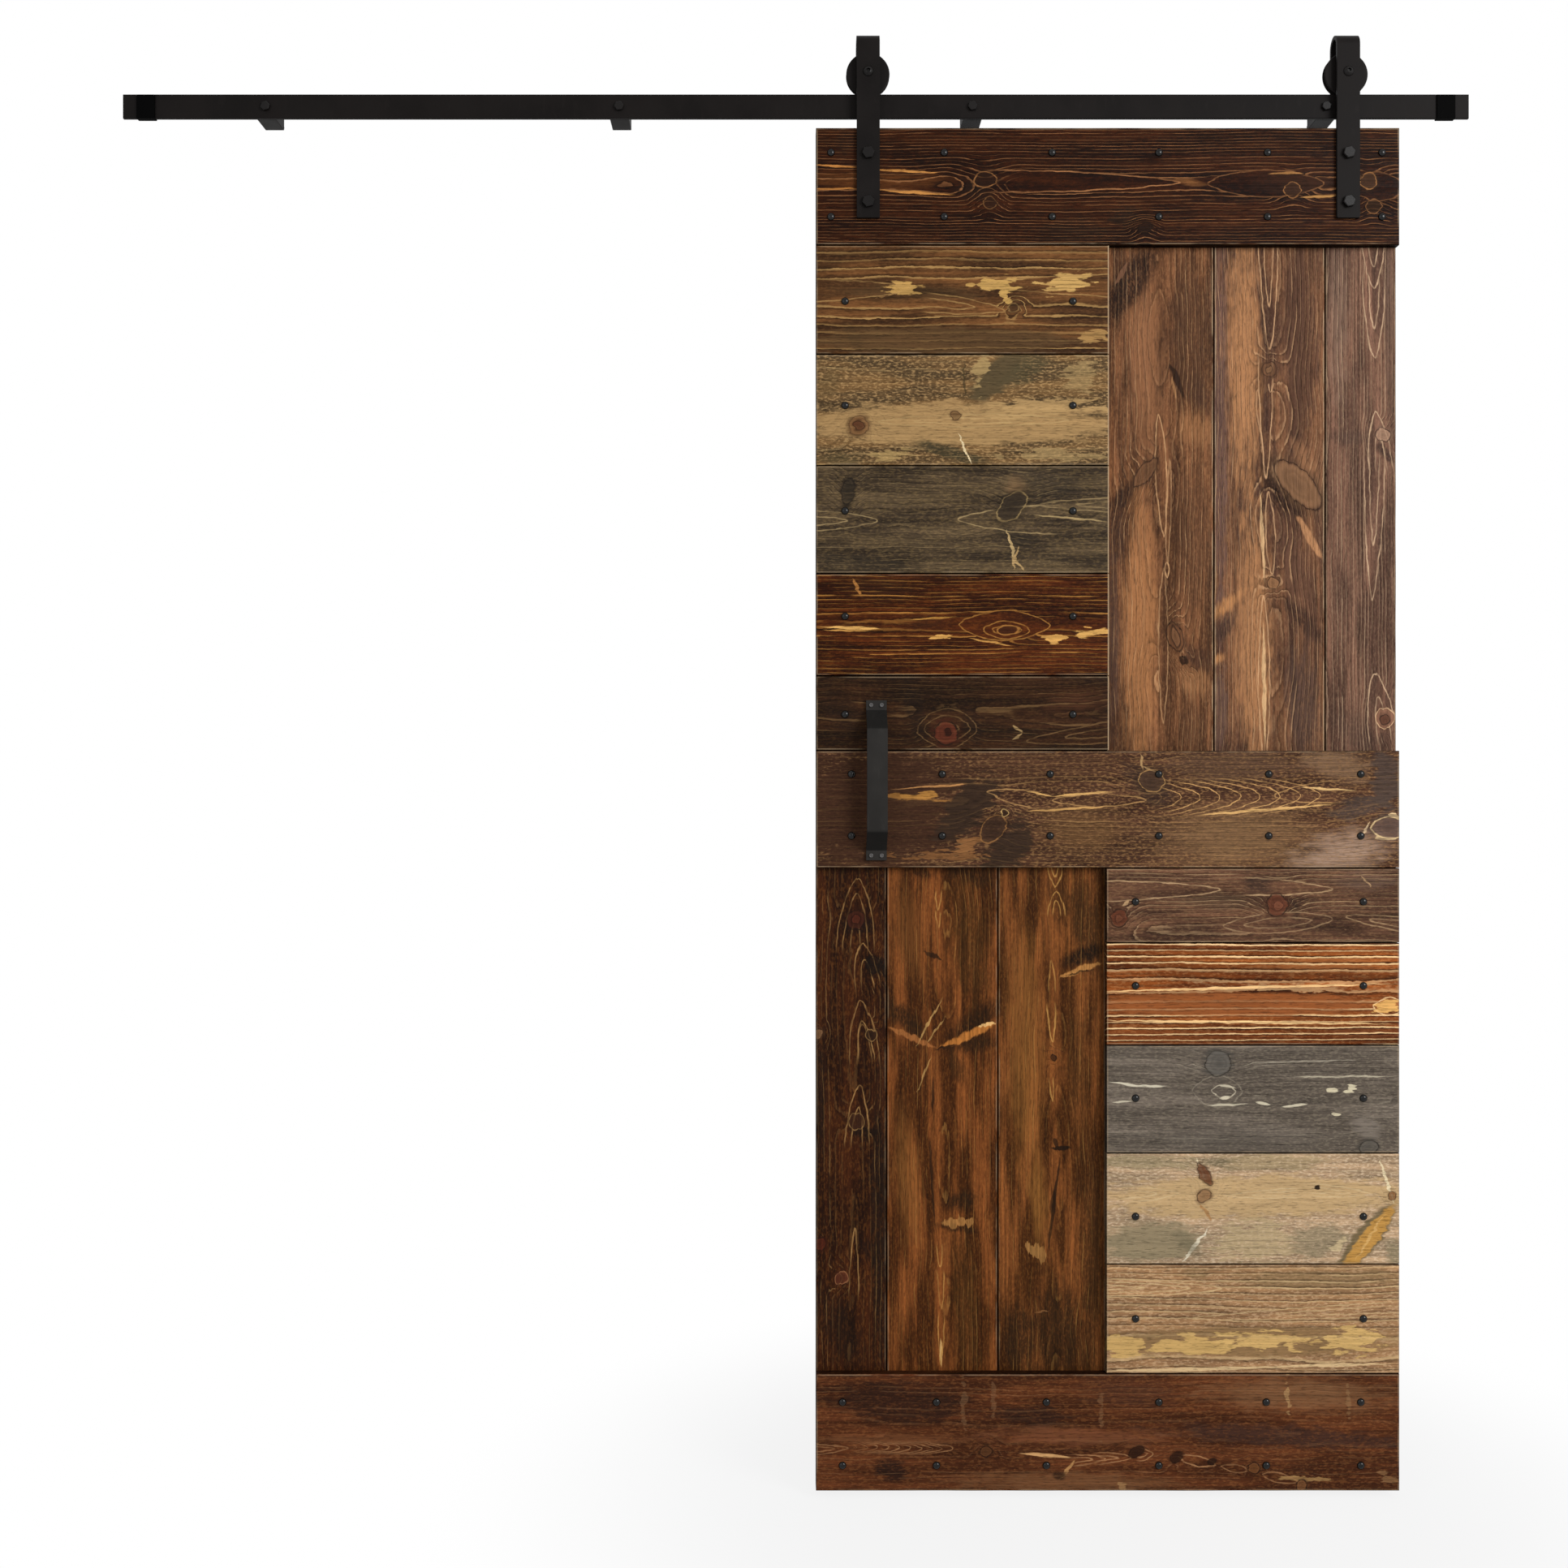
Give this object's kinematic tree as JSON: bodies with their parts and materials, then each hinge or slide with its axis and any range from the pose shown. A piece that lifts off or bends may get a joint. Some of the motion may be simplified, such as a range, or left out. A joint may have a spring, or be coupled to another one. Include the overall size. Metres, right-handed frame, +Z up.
{
  "type": "sliding barn door on a flat track",
  "caption": "Sliding wooden barn door leaf of rails, boards and tongued planks, hung on a flat steel track by strap hangers with grooved wheels.",
  "frame": {"origin": "on the wall face, behind the middle of the track bar, on the line of the lag bolts", "axes": "+X to the right seen from the front, +Y into the wall, +Z up"},
  "size_m": [2.113, 0.1345, 2.2812],
  "materials": {
    "black_steel": "satin",
    "handle_steel": "satin",
    "bearing_steel": "polished",
    "black_rubber": "matte",
    "top_rail": "satin",
    "middle_rail": "satin",
    "bottom_rail": "satin",
    "back_plank_1": "satin",
    "back_plank_2": "satin",
    "back_plank_3": "satin",
    "back_plank_4": "satin",
    "back_plank_5": "satin",
    "back_plank_6": "satin",
    "upper_board_1": "satin",
    "upper_board_2": "satin",
    "upper_board_3": "satin",
    "upper_board_4": "satin",
    "upper_board_5": "satin",
    "lower_board_1": "satin",
    "lower_board_2": "satin",
    "lower_board_3": "satin",
    "lower_board_4": "satin",
    "lower_board_5": "satin"
  },
  "bodies": {
    "track": {"track_bar": "black_steel", "lag_bolts": "black_steel", "spacer_1": "black_steel", "spacer_2": "black_steel", "spacer_3": "black_steel", "spacer_4": "black_steel", "end_stop_left": "black_rubber", "end_stop_right": "black_rubber"},
    "door": {"back_plank_1": "back_plank_1", "back_plank_2": "back_plank_2", "back_plank_3": "back_plank_3", "back_plank_4": "back_plank_4", "back_plank_5": "back_plank_5", "back_plank_6": "back_plank_6", "top_rail": "top_rail", "middle_rail": "middle_rail", "bottom_rail": "bottom_rail", "upper_board_1": "upper_board_1", "upper_board_2": "upper_board_2", "upper_board_3": "upper_board_3", "upper_board_4": "upper_board_4", "upper_board_5": "upper_board_5", "lower_board_1": "lower_board_1", "lower_board_2": "lower_board_2", "lower_board_3": "lower_board_3", "lower_board_4": "lower_board_4", "lower_board_5": "lower_board_5", "rail_nails": "black_steel", "board_nails": "black_steel", "pull_handle": "handle_steel", "handle_screws": "black_steel", "hanger_strap_left": "black_steel", "hanger_strap_right": "black_steel", "hanger_bolts": "black_steel", "hanger_washers": "black_steel", "hanger_nuts": "black_steel", "axle_bolt_left": "black_steel", "axle_bolt_right": "black_steel", "axle_nuts": "black_steel", "axle_bushes": "black_steel", "bearing_inner_rings": "bearing_steel"},
    "wheel_left": {"wheel_left": "black_steel", "bearing_outer_ring_left": "bearing_steel", "bearing_balls_left": "bearing_steel"},
    "wheel_right": {"wheel_right": "black_steel", "bearing_outer_ring_right": "bearing_steel", "bearing_balls_right": "bearing_steel"}
  },
  "joints": [
    {"name": "door_slide", "type": "slide", "parent": "track", "child": "door", "axis": [1, 0, 0], "range_m": [-1.105, 0.129]},
    {"name": "wheel_left_spin", "type": "hinge", "parent": "door", "child": "wheel_left", "pos_m": [0.113, -0.047, 0.04925], "axis": [0, 1, 0], "range_deg": [-2115, 250]},
    {"name": "wheel_right_spin", "type": "hinge", "parent": "door", "child": "wheel_right", "pos_m": [0.863, -0.047, 0.04925], "axis": [0, 1, 0], "range_deg": [-2115, 250]}
  ],
  "couplings": [
    {"joint": "wheel_left_spin", "follows": "door_slide", "rad_per_m": 33.333},
    {"joint": "wheel_right_spin", "follows": "door_slide", "rad_per_m": 33.333}
  ]
}
